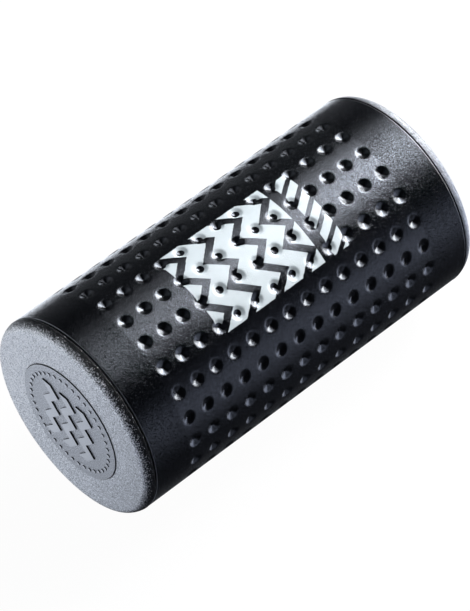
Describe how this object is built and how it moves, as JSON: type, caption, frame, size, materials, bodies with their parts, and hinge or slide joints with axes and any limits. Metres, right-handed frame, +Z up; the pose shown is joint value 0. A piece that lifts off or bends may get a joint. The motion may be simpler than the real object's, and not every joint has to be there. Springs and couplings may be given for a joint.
{
  "type": "percussion shaker",
  "caption": "Hand-held tube shaker: a black metal tube with a grid of pressed dimples, two grey moulded end caps and loose steel shot inside.",
  "frame": {"origin": "on the surface that the shaker lies on, below the middle of its length", "axes": "+X along the tube, towards the right cap; +Z up, through the tube's axis; +Y across the tube"},
  "size_m": [0.1208, 0.06, 0.0601],
  "materials": {
    "tube_metal": "black anodised, satin, with a dimpled wall",
    "cap_plastic": "light grey moulded plastic with a fine grain",
    "steel_shot": "plain steel shot"
  },
  "bodies": {
    "shell": {"tube": "tube_metal", "left_cap": "cap_plastic", "right_cap": "cap_plastic"},
    "shot_01": {"pellet_01": "steel_shot"},
    "shot_02": {"pellet_02": "steel_shot"},
    "shot_03": {"pellet_03": "steel_shot"},
    "shot_04": {"pellet_04": "steel_shot"},
    "shot_05": {"pellet_05": "steel_shot"},
    "shot_06": {"pellet_06": "steel_shot"},
    "shot_07": {"pellet_07": "steel_shot"},
    "shot_08": {"pellet_08": "steel_shot"},
    "shot_09": {"pellet_09": "steel_shot"},
    "shot_10": {"pellet_10": "steel_shot"},
    "shot_11": {"pellet_11": "steel_shot"},
    "shot_12": {"pellet_12": "steel_shot"},
    "shot_13": {"pellet_13": "steel_shot"},
    "shot_14": {"pellet_14": "steel_shot"},
    "shot_15": {"pellet_15": "steel_shot"},
    "shot_16": {"pellet_16": "steel_shot"},
    "shot_17": {"pellet_17": "steel_shot"},
    "shot_18": {"pellet_18": "steel_shot"},
    "shot_19": {"pellet_19": "steel_shot"},
    "shot_20": {"pellet_20": "steel_shot"}
  },
  "joints": [
    {"name": "shake_01", "type": "slide", "parent": "shell", "child": "shot_01", "axis": [0, 0, 1], "range_m": [0, 0.0515]},
    {"name": "shake_02", "type": "slide", "parent": "shell", "child": "shot_02", "axis": [0, 0, 1], "range_m": [0, 0.0515]},
    {"name": "roll_03", "type": "hinge", "parent": "shell", "child": "shot_03", "pos_m": [-0.0326, 0, 0.03004], "axis": [1, 0, 0], "continuous": true},
    {"name": "shake_04", "type": "slide", "parent": "shell", "child": "shot_04", "axis": [0, 0, 1], "range_m": [0, 0.0515]},
    {"name": "shake_05", "type": "slide", "parent": "shell", "child": "shot_05", "axis": [0, 0, 1], "range_m": [0, 0.0515]},
    {"name": "roll_06", "type": "hinge", "parent": "shell", "child": "shot_06", "pos_m": [-0.01948, 0, 0.03004], "axis": [1, 0, 0], "continuous": true},
    {"name": "shake_07", "type": "slide", "parent": "shell", "child": "shot_07", "axis": [0, 0, 1], "range_m": [0, 0.0515]},
    {"name": "shake_08", "type": "slide", "parent": "shell", "child": "shot_08", "axis": [0, 0, 1], "range_m": [0, 0.0515]},
    {"name": "roll_09", "type": "hinge", "parent": "shell", "child": "shot_09", "pos_m": [-0.00636, 0, 0.03004], "axis": [1, 0, 0], "continuous": true},
    {"name": "shake_10", "type": "slide", "parent": "shell", "child": "shot_10", "axis": [0, 0, 1], "range_m": [0, 0.0515]},
    {"name": "shake_11", "type": "slide", "parent": "shell", "child": "shot_11", "axis": [0, 0, 1], "range_m": [0, 0.0515]},
    {"name": "roll_12", "type": "hinge", "parent": "shell", "child": "shot_12", "pos_m": [0.00676, 0, 0.03004], "axis": [1, 0, 0], "continuous": true},
    {"name": "shake_13", "type": "slide", "parent": "shell", "child": "shot_13", "axis": [0, 0, 1], "range_m": [0, 0.0515]},
    {"name": "shake_14", "type": "slide", "parent": "shell", "child": "shot_14", "axis": [0, 0, 1], "range_m": [0, 0.0515]},
    {"name": "roll_15", "type": "hinge", "parent": "shell", "child": "shot_15", "pos_m": [0.01988, 0, 0.03004], "axis": [1, 0, 0], "continuous": true},
    {"name": "shake_16", "type": "slide", "parent": "shell", "child": "shot_16", "axis": [0, 0, 1], "range_m": [0, 0.0515]},
    {"name": "shake_17", "type": "slide", "parent": "shell", "child": "shot_17", "axis": [0, 0, 1], "range_m": [0, 0.0515]},
    {"name": "roll_18", "type": "hinge", "parent": "shell", "child": "shot_18", "pos_m": [0.033, 0, 0.03004], "axis": [1, 0, 0], "continuous": true},
    {"name": "shake_19", "type": "slide", "parent": "shell", "child": "shot_19", "axis": [0, 0, 1], "range_m": [0, 0.0515]},
    {"name": "shake_20", "type": "slide", "parent": "shell", "child": "shot_20", "axis": [0, 0, 1], "range_m": [0, 0.0515]}
  ]
}
